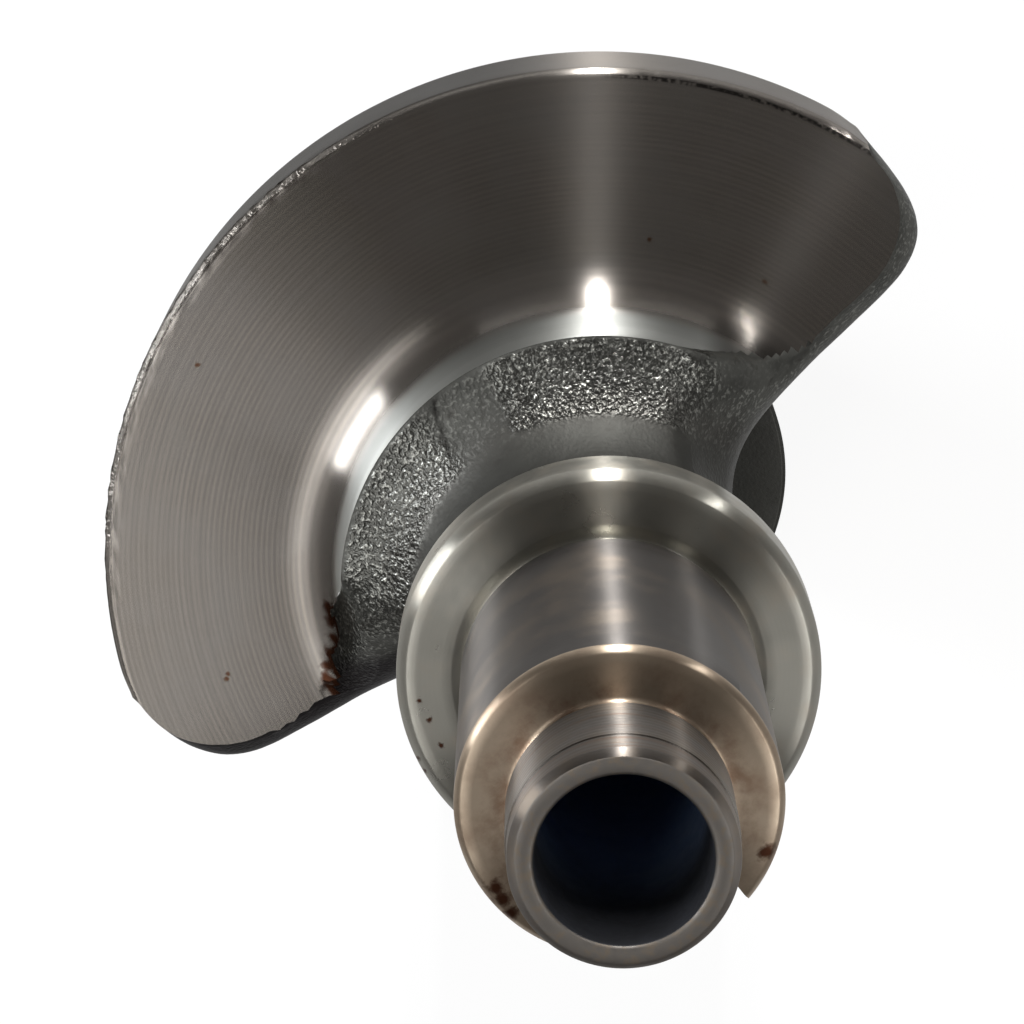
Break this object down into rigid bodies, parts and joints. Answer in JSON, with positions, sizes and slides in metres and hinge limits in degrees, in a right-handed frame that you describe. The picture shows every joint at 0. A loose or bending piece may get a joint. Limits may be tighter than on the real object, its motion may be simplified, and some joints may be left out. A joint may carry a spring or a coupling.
{
  "type": "balance shaft",
  "caption": "Forged and turned steel engine balance shaft with a sector counterweight, keyed gear seat, bearing journals, collars and a hollow front spigot.",
  "frame": {"origin": "lathe centre in the flat rear end, on the shaft's axis; the shaft stands on this end", "axes": "+Z along the shaft's axis from the rear end to the front spigot, +Y through the middle of the counterweight, keyway on -Y"},
  "size_m": [0.0698, 0.0533, 0.1121],
  "materials": {
    "forged_steel": "turned and ground bright steel on journals, collars, rim and faces; dark shot-blasted forged skin on neck and flats"
  },
  "bodies": {
    "root": {"balance_shaft": "forged_steel"}
  },
  "joints": []
}
